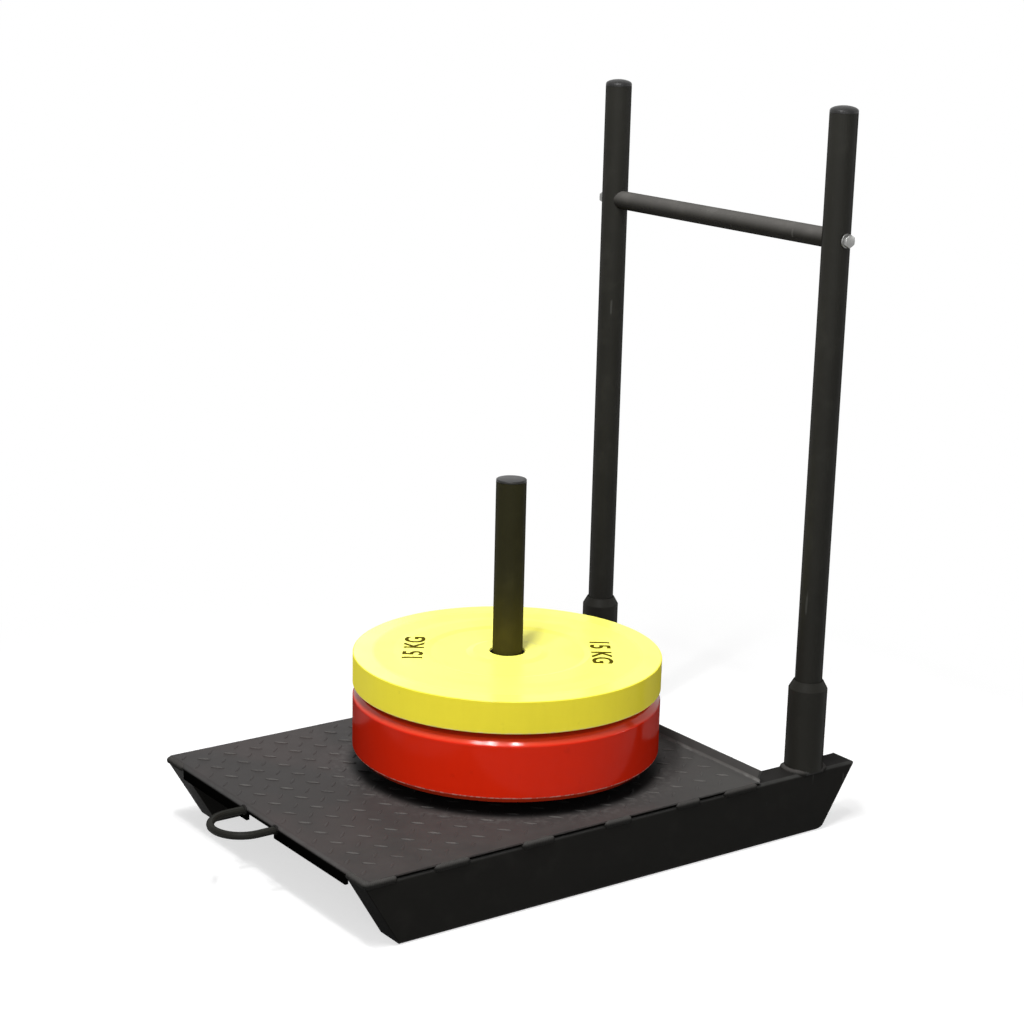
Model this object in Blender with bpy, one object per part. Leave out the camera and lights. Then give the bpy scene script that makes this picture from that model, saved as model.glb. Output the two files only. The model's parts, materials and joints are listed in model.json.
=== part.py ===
"""Weight sled: two mitred box-section runners under a bent tread-plate deck, a post with two rubber
weight plates, a tow ring in front, and a push frame of two uprights that lifts out of its sockets.

The front, with the tow ring, is towards -Y, and the user pushes from +Y. The origin lies on the floor
under the middle of the overall length and width.
"""

import math

import bmesh
import bpy
from mathutils import Matrix, Vector

# Clearances
WELD_GAP = 0.0003
SOCKET_CLEARANCE = 0.0008
BOLT_HOLE_CLEARANCE = 0.0006
CAP_CLEARANCE = 0.0003
PLATE_BORE_CLEARANCE = 0.0033

# Runners: rectangular tube on edge, cut back towards the floor at both ends
SLED_WIDTH = 0.546
RUNNER_LENGTH = 0.862
RUNNER_WIDTH = 0.048
RUNNER_HEIGHT = 0.096
RUNNER_WALL = 0.004
RUNNER_CORNER = 0.006
FRONT_MITRE = 0.057
REAR_MITRE = 0.060
END_PLATE = 0.005

# Deck: one sheet, bent down in front between the runners and up behind
SHEET = 0.005
BEND_RADIUS = 0.003
DECK_FRONT_SETBACK = 0.002
DECK_SIDE_SETBACK = 0.001
DECK_LENGTH = 0.676
FRONT_FLANGE_DROP = 0.021
FLANGE_END_GAP = 0.001
LIP_RISE = 0.0155
LIP_ANGLE = math.radians(64)
LIP_END_SETBACK = 0.008
RELIEF_DROP = 0.0095

# Tow ring: round bar bent to a U, its ends on the deck's front
RING_BAR = 0.011
RING_HALF_WIDTH = 0.0435
RING_LEG = 0.028
RING_BELOW_DECK_TOP = 0.0065
RING_BEND_STEPS = 20
RING_QUARTER_FACETS = 4

# Sockets of the push frame
SOCKET_Y = 0.781
SOCKET_DIAMETER = 0.057
SOCKET_STRAIGHT = 0.124
SOCKET_CHAMFER = 0.012
SOCKET_RIM = 0.001

# Push frame
UPRIGHT_DIAMETER = 0.040
UPRIGHT_WALL = 0.0025
UPRIGHT_TOP = 1.048
CAP_RIM = 0.003
CAP_DOME = 0.007
CAP_DOME_STEPS = 6
CAP_PLUG = 0.018
CAP_WALL = 0.002
CROSSBAR_HEIGHT = 0.876
CROSSBAR_DIAMETER = 0.028
CROSSBAR_WALL = 0.0025
INSERT_LENGTH = 0.030
BOLT_DIAMETER = 0.010
BOLT_REACH = 0.022
BOLT_HEAD_FLATS = 0.017
BOLT_HEAD_HEIGHT = 0.0064
BOLT_HEAD_CHAMFER = 0.0013
BOLT_TIP_CHAMFER = 0.00125
WASHER_DIAMETER = 0.020
WASHER_THICKNESS = 0.002

# Weight post and its flange
POST_Y = 0.416
POST_DIAMETER = 0.044
POST_WALL = 0.004
POST_TOP = 0.523
POST_CAP_THICKNESS = 0.004
POST_CAP_CHAMFER = 0.001
FLANGE_DIAMETER = 0.150
FLANGE_THICKNESS = 0.008
FLANGE_BEVEL = 0.002

# Weight plates
PLATE_DIAMETER = 0.450
HUB_DIAMETER = 0.062
HUB_CHAMFER = 0.002
HUB_COVER = 0.002
FACE_OPENING_DIAMETER = 0.057
LOWER_PLATE_THICKNESS = 0.111
LOWER_RIM_RECESS = 0.0085
LOWER_BEVEL = 0.009
UPPER_PLATE_THICKNESS = 0.0485
UPPER_RIM_RECESS = 0.001
UPPER_BEVEL = 0.004
BOSS_DIAMETER = 0.300
BOSS_SLOPE = 0.016
DISH_DIAMETER = 0.240
DISH_DEPTH = 0.0022
HUB_RING_DIAMETER = 0.110
RIM_TURN = math.radians(35)

# Facets round each kind of turned piece
PLATE_SIDES = 64
TUBE_SIDES = 36
SMALL_SIDES = 24

# Values that follow from the sizes above
DECK_UNDERSIDE = RUNNER_HEIGHT + WELD_GAP
DECK_TOP = DECK_UNDERSIDE + SHEET
RUNNER_X = (SLED_WIDTH - RUNNER_WIDTH) / 2
RUNNER_INNER_X = SLED_WIDTH / 2 - RUNNER_WIDTH
RING_REACH = RING_LEG + RING_HALF_WIDTH + RING_BAR / 2
CENTRE_Y = (RUNNER_LENGTH - RING_REACH + DECK_FRONT_SETBACK) / 2
UPRIGHT_FOOT = RUNNER_HEIGHT + WELD_GAP
UPRIGHT_INNER_X = RUNNER_X - UPRIGHT_DIAMETER / 2
PLATE_REST = DECK_TOP + WELD_GAP + FLANGE_THICKNESS
LOWER_PLATE_FOOT = PLATE_REST + WELD_GAP
UPPER_PLATE_FOOT = LOWER_PLATE_FOOT + LOWER_PLATE_THICKNESS + WELD_GAP
BORE_RADIUS = POST_DIAMETER / 2 + PLATE_BORE_CLEARANCE


def from_tip(distance):
    """World Y of a point that lies this far behind the runners' front tips."""
    return distance - CENTRE_Y


def clear_scene():
    for item in list(bpy.data.objects):
        bpy.data.objects.remove(item, do_unlink=True)


def finish(name, colour, roughness, metallic=0.0):
    made = bpy.data.materials.new(name)
    made.use_nodes = True
    shader = made.node_tree.nodes["Principled BSDF"]
    shader.inputs["Base Color"].default_value = (*colour, 1.0)
    shader.inputs["Roughness"].default_value = roughness
    shader.inputs["Metallic"].default_value = metallic
    return made


def empty(name, location):
    marker = bpy.data.objects.new(name, None)
    marker.location = location
    bpy.context.collection.objects.link(marker)
    return marker


def piece(name, mesh, material, location=(0, 0, 0), rotation=(0, 0, 0), parent=None):
    mesh.materials.clear()
    mesh.materials.append(material)
    made = bpy.data.objects.new(name, mesh)
    made.location = location
    made.rotation_euler = rotation
    made.parent = parent
    bpy.context.collection.objects.link(made)
    return made


def loft(name, rings, closed=False, smooth_angle=30.0):
    """A body through rings of as many points each; closed joins the last ring to the first."""
    bm = bmesh.new()
    loops = [[bm.verts.new(point) for point in ring] for ring in rings]
    pairs = list(zip(loops, loops[1:]))
    if closed:
        pairs.append((loops[-1], loops[0]))
    for first, second in pairs:
        for i in range(len(first)):
            j = (i + 1) % len(first)
            bm.faces.new((first[i], first[j], second[j], second[i]))
    if not closed:
        bm.faces.new(loops[0])
        bm.faces.new(loops[-1])
    bmesh.ops.recalc_face_normals(bm, faces=bm.faces)
    mesh = bpy.data.meshes.new(name)
    bm.to_mesh(mesh)
    bm.free()
    mesh.shade_smooth()
    mesh.set_sharp_from_angle(angle=math.radians(smooth_angle))
    return mesh


def circle(radius, height, sides):
    angles = (2 * math.pi * i / sides for i in range(sides))
    return [(radius * math.cos(a), radius * math.sin(a), height) for a in angles]


def hexagon(flats, height, sides):
    """Points on a hexagon's outline, as many on each side."""
    ring = []
    for i in range(sides):
        angle = 2 * math.pi * i / sides
        to_flat = (angle % (math.pi / 3)) - math.pi / 6
        radius = flats / 2 / math.cos(to_flat)
        ring.append((radius * math.cos(angle), radius * math.sin(angle), height))
    return ring


def turned(name, profile, sides, bored=True):
    """A lathe profile of (radius, height) points; bored profiles run all round the wall."""
    rings = [circle(radius, height, sides) for radius, height in profile]
    return loft(name, rings, closed=bored)


def rounded_rectangle(width, height, radius, steps=3):
    """Outline points (across, up) of a rectangle with round corners, its lower side at zero."""
    points = []
    corners = ((1, 0), (1, 1), (-1, 1), (-1, 0))
    for quarter, (side, upper) in enumerate(corners):
        across = side * (width / 2 - radius)
        up = height - radius if upper else radius
        for i in range(steps + 1):
            angle = math.pi / 2 * (quarter - 1 + i / steps)
            points.append((across + radius * math.cos(angle), up + radius * math.sin(angle)))
    return points


def front_cut(up, inset):
    """Y of the runner's front face at a height, set back by inset along Y."""
    return from_tip(FRONT_MITRE * (1 - up / RUNNER_HEIGHT) + inset)


def rear_cut(up, inset):
    """Y of the runner's rear face at a height, set forward by inset along Y."""
    return from_tip(RUNNER_LENGTH - REAR_MITRE * (1 - up / RUNNER_HEIGHT) - inset)


def runner_tube(name, front_inset, rear_inset):
    """Box tube with both ends cut parallel to the end plates."""
    outer = rounded_rectangle(RUNNER_WIDTH, RUNNER_HEIGHT, RUNNER_CORNER)
    bore = rounded_rectangle(RUNNER_WIDTH - 2 * RUNNER_WALL, RUNNER_HEIGHT - 2 * RUNNER_WALL,
                             RUNNER_CORNER / 2)
    bore = [(across, up + RUNNER_WALL) for across, up in bore]
    ends = ((front_cut, front_inset), (rear_cut, rear_inset))
    rings = [[(x, cut(z, inset), z) for x, z in outer] for cut, inset in ends]
    rings += [[(x, cut(z, inset), z) for x, z in bore] for cut, inset in reversed(ends)]
    return loft(name, rings, closed=True)


def runner_end_plate(name, cut, thickness):
    outline = rounded_rectangle(RUNNER_WIDTH, RUNNER_HEIGHT, RUNNER_CORNER)
    rings = [[(x, cut(z, inset), z) for x, z in outline] for inset in (0.0, thickness)]
    return loft(name, rings)


def make_runners(coat):
    front_slant = math.hypot(1, FRONT_MITRE / RUNNER_HEIGHT)
    rear_slant = math.hypot(1, REAR_MITRE / RUNNER_HEIGHT)
    front_plate = END_PLATE * front_slant
    rear_plate = END_PLATE * rear_slant
    for side, x in (("left", RUNNER_X), ("right", -RUNNER_X)):
        tube = runner_tube(f"{side}_runner", front_plate + WELD_GAP * front_slant,
                           rear_plate + WELD_GAP * rear_slant)
        piece(f"{side}_runner", tube, coat, (x, 0, 0))
        nose = runner_end_plate(f"{side}_runner_front_plate", front_cut, front_plate)
        piece(f"{side}_runner_front_plate", nose, coat, (x, 0, 0))
        tail = runner_end_plate(f"{side}_runner_rear_plate", rear_cut, rear_plate)
        piece(f"{side}_runner_rear_plate", tail, coat, (x, 0, 0))


def bent_sheet(path, thickness, inner_radius, steps=5):
    """Outline of a sheet whose middle follows the path (y, z), with round bends."""
    middle = inner_radius + thickness / 2
    stations = []
    path = [Vector(point) for point in path]
    for i, corner in enumerate(path):
        before = (corner - path[i - 1]).normalized() if i else None
        after = (path[i + 1] - corner).normalized() if i + 1 < len(path) else None
        if before is None or after is None:
            along = after or before
            stations.append((corner, Vector((-along.y, along.x))))
            continue
        turn = before.angle_signed(after)
        trim = middle * math.tan(abs(turn) / 2)
        start = corner - before * trim
        hand = -1 if turn > 0 else 1
        to_centre = Vector((-before.y, before.x)) * hand
        centre = start + to_centre * middle
        for step in range(steps + 1):
            spoke = -to_centre
            spoke.rotate(Matrix.Rotation(hand * abs(turn) * step / steps, 2))
            stations.append((centre + spoke * middle, spoke * -hand))
    half = thickness / 2
    upper = [point + normal * half for point, normal in stations]
    lower = [point - normal * half for point, normal in stations]
    return upper + lower[::-1]


def cutter(name, low, high):
    """A box between two corners, to be cut out of another piece."""
    rings = [[(x, y, z) for x, y in ((low[0], low[1]), (high[0], low[1]), (high[0], high[1]),
                                     (low[0], high[1]))] for z in (low[2], high[2])]
    box = bpy.data.objects.new(name, loft(name, rings))
    box.hide_render = True
    box.display_type = "WIRE"
    bpy.context.collection.objects.link(box)
    return box


def cut(target, tool):
    step = target.modifiers.new(tool.name, "BOOLEAN")
    step.operation = "DIFFERENCE"
    step.solver = "EXACT"
    step.object = tool


def make_deck(coat):
    front = from_tip(DECK_FRONT_SETBACK)
    middle_height = DECK_UNDERSIDE + SHEET / 2
    lip_run = LIP_RISE / math.tan(LIP_ANGLE)
    path = [
        (front + SHEET / 2, DECK_TOP - FRONT_FLANGE_DROP),
        (front + SHEET / 2, middle_height),
        (from_tip(DECK_LENGTH), middle_height),
        (from_tip(DECK_LENGTH) + lip_run, middle_height + LIP_RISE),
    ]
    outline = bent_sheet(path, SHEET, BEND_RADIUS)
    edge = SLED_WIDTH / 2 - DECK_SIDE_SETBACK
    rings = [[(x, y, z) for y, z in outline] for x in (-edge, edge)]
    deck = piece("deck_plate", loft("deck_plate", rings), coat)

    past = SHEET
    flange_foot = DECK_TOP - FRONT_FLANGE_DROP - past
    flange_end = RUNNER_INNER_X - FLANGE_END_GAP
    behind_flange = front + BEND_RADIUS + SHEET + past
    bend = from_tip(DECK_LENGTH)
    above_lip = DECK_TOP + LIP_RISE + past
    for side in (-1, 1):
        inner, outer = sorted((side * flange_end, side * (edge + past)))
        cut(deck, cutter(f"flange_end_notch_{side}", (inner, front - past, flange_foot),
                         (outer, behind_flange, DECK_UNDERSIDE)))
        inner, outer = sorted((side * (SLED_WIDTH / 2 - LIP_END_SETBACK), side * (edge + past)))
        cut(deck, cutter(f"lip_end_notch_{side}", (inner, bend, DECK_UNDERSIDE - past),
                         (outer, bend + lip_run + 2 * past, above_lip)))
    relief = RING_HALF_WIDTH - RING_BAR / 2
    cut(deck, cutter("ring_relief", (-relief, front - past, flange_foot),
                     (relief, behind_flange, DECK_TOP - RELIEF_DROP)))


def make_tow_ring(coat):
    """U of round bar in line with the deck sheet, its two ends square on the deck's front."""
    start = from_tip(DECK_FRONT_SETBACK) - WELD_GAP
    bend = from_tip(DECK_FRONT_SETBACK) - RING_LEG
    points = [(-RING_HALF_WIDTH, start), (-RING_HALF_WIDTH, bend)]
    for i in range(1, RING_BEND_STEPS):
        angle = math.pi * i / RING_BEND_STEPS
        points.append((-RING_HALF_WIDTH * math.cos(angle), bend - RING_HALF_WIDTH * math.sin(angle)))
    points += [(RING_HALF_WIDTH, bend), (RING_HALF_WIDTH, start)]
    curve = bpy.data.curves.new("tow_ring", "CURVE")
    curve.dimensions = "3D"
    curve.bevel_depth = RING_BAR / 2
    curve.bevel_resolution = RING_QUARTER_FACETS
    curve.use_fill_caps = True
    spline = curve.splines.new("POLY")
    spline.points.add(len(points) - 1)
    for target, (x, y) in zip(spline.points, points):
        target.co = (x, y, DECK_TOP - RING_BELOW_DECK_TOP, 1)
    piece("tow_ring", curve, coat)


def make_sockets(coat):
    """Thick tubes with a long chamfer that leads down from the uprights."""
    outer = SOCKET_DIAMETER / 2
    bore = UPRIGHT_DIAMETER / 2 + SOCKET_CLEARANCE
    top = SOCKET_STRAIGHT + SOCKET_CHAMFER
    profile = [(bore, 0), (outer, 0), (outer, SOCKET_STRAIGHT), (bore + SOCKET_RIM, top), (bore, top)]
    for side, x in (("left", RUNNER_X), ("right", -RUNNER_X)):
        piece(f"{side}_socket", turned(f"{side}_socket", profile, TUBE_SIDES), coat,
              (x, from_tip(SOCKET_Y), RUNNER_HEIGHT + WELD_GAP))


def domed_cap(name, tube_radius, wall):
    """Plug for a tube's end with a rim on the tube's wall and a low dome; hollow from below."""
    plug = tube_radius - wall - CAP_CLEARANCE
    inside = plug - CAP_WALL
    profile = [(inside, -CAP_PLUG), (plug, -CAP_PLUG), (plug, WELD_GAP), (tube_radius, WELD_GAP),
               (tube_radius, CAP_RIM)]
    for i in range(1, CAP_DOME_STEPS):
        angle = math.pi / 2 * i / CAP_DOME_STEPS
        profile.append((tube_radius * math.cos(angle), CAP_RIM + CAP_DOME * math.sin(angle)))
    rings = [circle(radius, height, TUBE_SIDES) for radius, height in profile]
    ceiling = circle(inside, 0, TUBE_SIDES)
    return loft(name, [ceiling] + rings)


def make_push_frame(coat, plastic, zinc):
    """Two uprights with a bolted crossbar, as one frame that lifts out of the sockets."""
    frame = empty("push_frame", (0, from_tip(SOCKET_Y), UPRIGHT_FOOT))
    outer = UPRIGHT_DIAMETER / 2
    bore = outer - UPRIGHT_WALL
    height = UPRIGHT_TOP - UPRIGHT_FOOT
    bar_height = CROSSBAR_HEIGHT - UPRIGHT_FOOT
    hole = BOLT_DIAMETER / 2 + BOLT_HOLE_CLEARANCE
    wall = [(bore, 0), (outer, 0), (outer, height), (bore, height)]
    along_x = (0, math.pi / 2, 0)

    drill = turned("bolt_drill", [(hole, -SLED_WIDTH), (hole, SLED_WIDTH)], SMALL_SIDES, bored=False)
    drill = piece("bolt_drill", drill, coat, (0, 0, bar_height), along_x, frame)
    drill.hide_render = True
    drill.display_type = "WIRE"
    for side, x in (("left", RUNNER_X), ("right", -RUNNER_X)):
        upright = piece(f"{side}_upright", turned(f"{side}_upright", wall, TUBE_SIDES), coat, (x, 0, 0),
                        parent=frame)
        cut(upright, drill)
        piece(f"{side}_upright_cap", domed_cap(f"{side}_upright_cap", outer, UPRIGHT_WALL), plastic,
              (x, 0, height), parent=frame)

    make_crossbar(coat, frame, bar_height)
    for side, hand in (("left", 1), ("right", -1)):
        turn = (0, hand * math.pi / 2, 0)
        mouth = UPRIGHT_INNER_X - WELD_GAP
        make_insert(f"crossbar_{side}_insert", zinc, (hand * mouth, 0, bar_height), turn, frame)
        seat = RUNNER_X + outer + WELD_GAP
        make_washer(f"{side}_washer", zinc, (hand * seat, 0, bar_height), turn, frame)
        head = seat + WASHER_THICKNESS + WELD_GAP
        make_bolt(f"{side}_bolt", zinc, (hand * head, 0, bar_height), turn, frame,
                  head - UPRIGHT_INNER_X + BOLT_REACH)


def make_crossbar(coat, frame, bar_height):
    """Tube between the uprights, its ends coped to lie against their round walls."""
    outer = CROSSBAR_DIAMETER / 2
    bore = outer - CROSSBAR_WALL
    end = RUNNER_X
    wall = [(bore, -end), (outer, -end), (outer, end), (bore, end)]
    bar = piece("crossbar", turned("crossbar", wall, TUBE_SIDES), coat, (0, 0, bar_height),
                (0, math.pi / 2, 0), frame)
    cope_radius = UPRIGHT_DIAMETER / 2 + WELD_GAP
    for side, x in (("left", RUNNER_X), ("right", -RUNNER_X)):
        profile = [(cope_radius, -CROSSBAR_DIAMETER), (cope_radius, CROSSBAR_DIAMETER)]
        cope = piece(f"{side}_cope", turned(f"{side}_cope", profile, TUBE_SIDES, bored=False), coat,
                     (x, 0, bar_height), parent=frame)
        cope.hide_render = True
        cope.display_type = "WIRE"
        cut(bar, cope)


def make_insert(name, zinc, location, rotation, frame):
    """Plug in the crossbar's end that takes the bolt; it runs inwards from the upright."""
    plug = CROSSBAR_DIAMETER / 2 - CROSSBAR_WALL - WELD_GAP
    thread = BOLT_DIAMETER / 2 + WELD_GAP
    profile = [(thread, -INSERT_LENGTH), (plug, -INSERT_LENGTH), (plug, 0), (thread, 0)]
    piece(name, turned(name, profile, SMALL_SIDES), zinc, location, rotation, frame)


def make_washer(name, zinc, location, rotation, frame):
    hole = BOLT_DIAMETER / 2 + BOLT_HOLE_CLEARANCE
    rim = WASHER_DIAMETER / 2
    profile = [(hole, 0), (rim, 0), (rim, WASHER_THICKNESS), (hole, WASHER_THICKNESS)]
    piece(name, turned(name, profile, SMALL_SIDES), zinc, location, rotation, frame)


def make_bolt(name, zinc, location, rotation, frame, shank_length):
    """Hexagon head outside the upright, shank through both of its walls into the insert."""
    shank = BOLT_DIAMETER / 2
    rings = [
        circle(shank - BOLT_TIP_CHAMFER, -shank_length, SMALL_SIDES),
        circle(shank, -shank_length + BOLT_TIP_CHAMFER, SMALL_SIDES),
        circle(shank, 0, SMALL_SIDES),
        hexagon(BOLT_HEAD_FLATS, 0, SMALL_SIDES),
        hexagon(BOLT_HEAD_FLATS, BOLT_HEAD_HEIGHT - BOLT_HEAD_CHAMFER, SMALL_SIDES),
        circle((BOLT_HEAD_FLATS - BOLT_HEAD_CHAMFER) / 2, BOLT_HEAD_HEIGHT, SMALL_SIDES),
    ]
    piece(name, loft(name, rings), zinc, location, rotation, frame)


def make_weight_post(coat, plastic):
    post_y = from_tip(POST_Y)
    foot = DECK_TOP + WELD_GAP
    outer = POST_DIAMETER / 2
    bore = outer - POST_WALL
    height = POST_TOP - foot
    wall = [(bore, 0), (outer, 0), (outer, height), (bore, height)]
    piece("weight_post", turned("weight_post", wall, TUBE_SIDES), coat, (0, post_y, foot))

    around = outer + WELD_GAP
    base = FLANGE_DIAMETER / 2
    profile = [(around, 0), (base, 0), (base, FLANGE_THICKNESS - FLANGE_BEVEL),
               (base - FLANGE_BEVEL, FLANGE_THICKNESS), (around, FLANGE_THICKNESS)]
    flange = turned("weight_post_flange", profile, TUBE_SIDES)
    piece("weight_post_flange", flange, coat, (0, post_y, foot))

    plug = bore - CAP_CLEARANCE
    inside = plug - CAP_WALL
    profile = [(inside, WELD_GAP), (inside, -CAP_PLUG), (plug, -CAP_PLUG), (plug, WELD_GAP),
               (outer, WELD_GAP), (outer, POST_CAP_THICKNESS - POST_CAP_CHAMFER),
               (outer - POST_CAP_CHAMFER, POST_CAP_THICKNESS)]
    rings = [circle(radius, level, TUBE_SIDES) for radius, level in profile]
    piece("weight_post_cap", loft("weight_post_cap", rings), plastic, (0, post_y, POST_TOP))


def plate_face(thickness, recess, bevel):
    """Half profile of a plate's rubber from its bore outwards, heights from the middle."""
    half = thickness / 2
    seat = HUB_DIAMETER / 2 + WELD_GAP
    opening = FACE_OPENING_DIAMETER / 2
    ring = HUB_RING_DIAMETER / 2
    dish = DISH_DIAMETER / 2
    boss = BOSS_DIAMETER / 2
    rim = PLATE_DIAMETER / 2
    return [
        (seat, half - HUB_COVER),
        (opening, half - HUB_COVER),
        (opening, half),
        (ring, half),
        (ring + DISH_DEPTH, half - DISH_DEPTH),
        (dish - DISH_DEPTH, half - DISH_DEPTH),
        (dish, half),
        (boss, half),
        (boss + BOSS_SLOPE, half - recess),
    ] + [(rim - bevel * (1 - math.sin(turn)), half - recess - bevel * (1 - math.cos(turn)))
         for turn in (0, RIM_TURN, math.pi / 2 - RIM_TURN, math.pi / 2)]


def make_plate(name, rubber, steel, y, foot, thickness, recess, bevel):
    """Rubber plate moulded over a steel bush, both sliding on the weight post."""
    carrier = empty(f"{name}_carrier", (0, y, foot + thickness / 2))
    upper = plate_face(thickness, recess, bevel)
    lower = [(radius, -height) for radius, height in reversed(upper)]
    piece(name, turned(name, upper + lower, PLATE_SIDES), rubber, parent=carrier)
    half = thickness / 2 - HUB_COVER - WELD_GAP
    outer = HUB_DIAMETER / 2
    profile = [(outer, -half), (outer, half), (BORE_RADIUS + HUB_CHAMFER, half),
               (BORE_RADIUS, half - HUB_CHAMFER), (BORE_RADIUS, HUB_CHAMFER - half),
               (BORE_RADIUS + HUB_CHAMFER, -half)]
    piece(f"{name}_hub", turned(f"{name}_hub", profile, TUBE_SIDES), steel, parent=carrier)


def build():
    clear_scene()
    deck_coat = finish("deck_coat", (0.062, 0.058, 0.055), 0.62)
    runner_coat = finish("runner_coat", (0.012, 0.012, 0.011), 0.5)
    tube_coat = finish("tube_coat", (0.016, 0.016, 0.016), 0.48)
    plastic = finish("cap_plastic", (0.012, 0.012, 0.012), 0.4)
    zinc = finish("zinc", (0.55, 0.55, 0.53), 0.35, 1.0)
    steel = finish("hub_steel", (0.05, 0.05, 0.045), 0.45, 0.8)
    red = finish("red_rubber", (0.5, 0.016, 0.004), 0.35)
    yellow = finish("yellow_rubber", (0.85, 0.72, 0.05), 0.38)

    make_runners(runner_coat)
    make_deck(deck_coat)
    make_tow_ring(runner_coat)
    make_sockets(tube_coat)
    make_push_frame(tube_coat, plastic, zinc)
    make_weight_post(tube_coat, plastic)
    post_y = from_tip(POST_Y)
    make_plate("lower_plate", red, steel, post_y, LOWER_PLATE_FOOT, LOWER_PLATE_THICKNESS,
               LOWER_RIM_RECESS, LOWER_BEVEL)
    make_plate("upper_plate", yellow, steel, post_y, UPPER_PLATE_FOOT, UPPER_PLATE_THICKNESS,
               UPPER_RIM_RECESS, UPPER_BEVEL)


build()
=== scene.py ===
"""A weight sled in a plain pale studio: paints, rubber, tread bars, weld beads and turned pieces.

Lengths are in metres. The front of the sled, with its tow ring, is towards -Y.
"""

import json
import math

import bmesh
import bpy
from mathutils import Matrix, Vector


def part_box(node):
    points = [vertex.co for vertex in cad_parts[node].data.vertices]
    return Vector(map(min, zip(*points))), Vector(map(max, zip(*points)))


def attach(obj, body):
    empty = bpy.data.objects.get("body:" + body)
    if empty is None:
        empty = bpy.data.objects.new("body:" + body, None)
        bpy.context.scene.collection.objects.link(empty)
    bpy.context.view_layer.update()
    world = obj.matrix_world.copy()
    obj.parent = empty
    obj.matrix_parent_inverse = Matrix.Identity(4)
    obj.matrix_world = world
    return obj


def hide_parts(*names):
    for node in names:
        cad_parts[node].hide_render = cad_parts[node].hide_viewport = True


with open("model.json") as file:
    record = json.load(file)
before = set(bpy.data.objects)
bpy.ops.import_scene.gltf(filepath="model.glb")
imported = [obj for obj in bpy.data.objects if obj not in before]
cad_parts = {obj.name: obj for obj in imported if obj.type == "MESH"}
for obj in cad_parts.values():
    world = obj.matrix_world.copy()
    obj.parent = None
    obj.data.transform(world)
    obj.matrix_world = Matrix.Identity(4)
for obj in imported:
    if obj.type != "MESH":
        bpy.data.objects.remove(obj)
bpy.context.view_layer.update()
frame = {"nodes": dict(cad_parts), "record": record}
bpy.context.scene.view_settings.view_transform = "Standard"

# Boxes of the solids that the dressed pieces take their sizes from
DECK_LOW, DECK_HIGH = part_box("deck_plate")
RUNNER_LOW, RUNNER_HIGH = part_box("left_runner")
SOCKET_LOW, SOCKET_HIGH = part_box("left_socket")
FLANGE_LOW, FLANGE_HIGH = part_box("weight_post_flange")
POST_LOW, POST_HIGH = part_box("weight_post")
RING_LOW, RING_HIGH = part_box("tow_ring")
CROSSBAR_LOW, CROSSBAR_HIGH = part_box("crossbar")
LOWER_LOW, LOWER_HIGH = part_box("lower_plate")
UPPER_LOW, UPPER_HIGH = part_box("upper_plate")

# Runners: the slants say how far the ends are cut back at the floor
SIDES = (("left", 1), ("right", -1))
RUNNER_TOP = RUNNER_HIGH.z
RUNNER_X = (RUNNER_LOW.x + RUNNER_HIGH.x) / 2
RUNNER_HALF = (RUNNER_HIGH.x - RUNNER_LOW.x) / 2
TIP_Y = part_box("left_runner_front_plate")[0].y
TAIL_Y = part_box("left_runner_rear_plate")[1].y
FRONT_SLANT, REAR_SLANT = 0.057, 0.060
HEEL_ROUNDING = 0.0108

# Deck: the flange of the post lies a weld gap above it
WELD_GAP = 0.0003
DECK_TOP = FLANGE_LOW.z - WELD_GAP
DECK_FRONT = DECK_LOW.y
DECK_EDGE = DECK_HIGH.x
FOLD_Y = DECK_HIGH.y - 0.0095
BAR_PITCH_X, BAR_PITCH_Y = 0.0414, 0.0433
FIRST_BAR_X, FIRST_BAR_Y = -0.2734, TIP_Y + 0.0400 - BAR_PITCH_Y
BAR_HALF_LENGTH, BAR_HALF_WIDTH, BAR_HEIGHT = 0.0112, 0.0027, 0.0014
STITCHES = ((0.0008, 0.052), (0.109, 0.168), (0.251, 0.307), (0.391, 0.440), (0.519, 0.564),
            (0.607, 0.672))

# Sockets and post
SOCKET_Y = (SOCKET_LOW.y + SOCKET_HIGH.y) / 2
SOCKET_RADIUS = (SOCKET_HIGH.y - SOCKET_LOW.y) / 2
SOCKET_BORE, SOCKET_CHAMFER, SOCKET_RIM = 0.0208, 0.012, 0.001
FLANGE_RADIUS = (FLANGE_HIGH.y - FLANGE_LOW.y) / 2
POST_Y = (POST_LOW.y + POST_HIGH.y) / 2
POST_RADIUS = (POST_HIGH.y - POST_LOW.y) / 2
RING_BAR = 0.0055

# Radii of the weld beads
STITCH_BEAD, CORNER_BEAD, SOCKET_BEAD, SOCKET_SIDE_BEAD = 0.0066, 0.0056, 0.0059, 0.0042
FLANGE_BEAD, POST_BEAD, RING_BEAD = 0.0032, 0.0019, 0.0017

# Weight plates: a raised boss with a shallow dish in it, and the recess of each face round it
PLATE_RADIUS = (UPPER_HIGH.y - UPPER_LOW.y) / 2
HUB_RADIUS = 0.0263
BOSS_RADIUS, BOSS_SLOPE = 0.15, 0.016
DISH_RADII, DISH_DEPTH = (0.050, 0.060, 0.112, 0.121), 0.0022
LOWER_RECESS, UPPER_RECESS, UPPER_UNDER_RECESS = 0.0085, 0.001, 0.0003
NUMERALS, NUMERAL_ANGLES, NUMERAL_RADIUS, NUMERAL_SIZE = "15 KG", (233.7, 55.5), 0.135, 0.041

SURROUND_LIGHT = 0.14


# ---- Node networks ----

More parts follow.
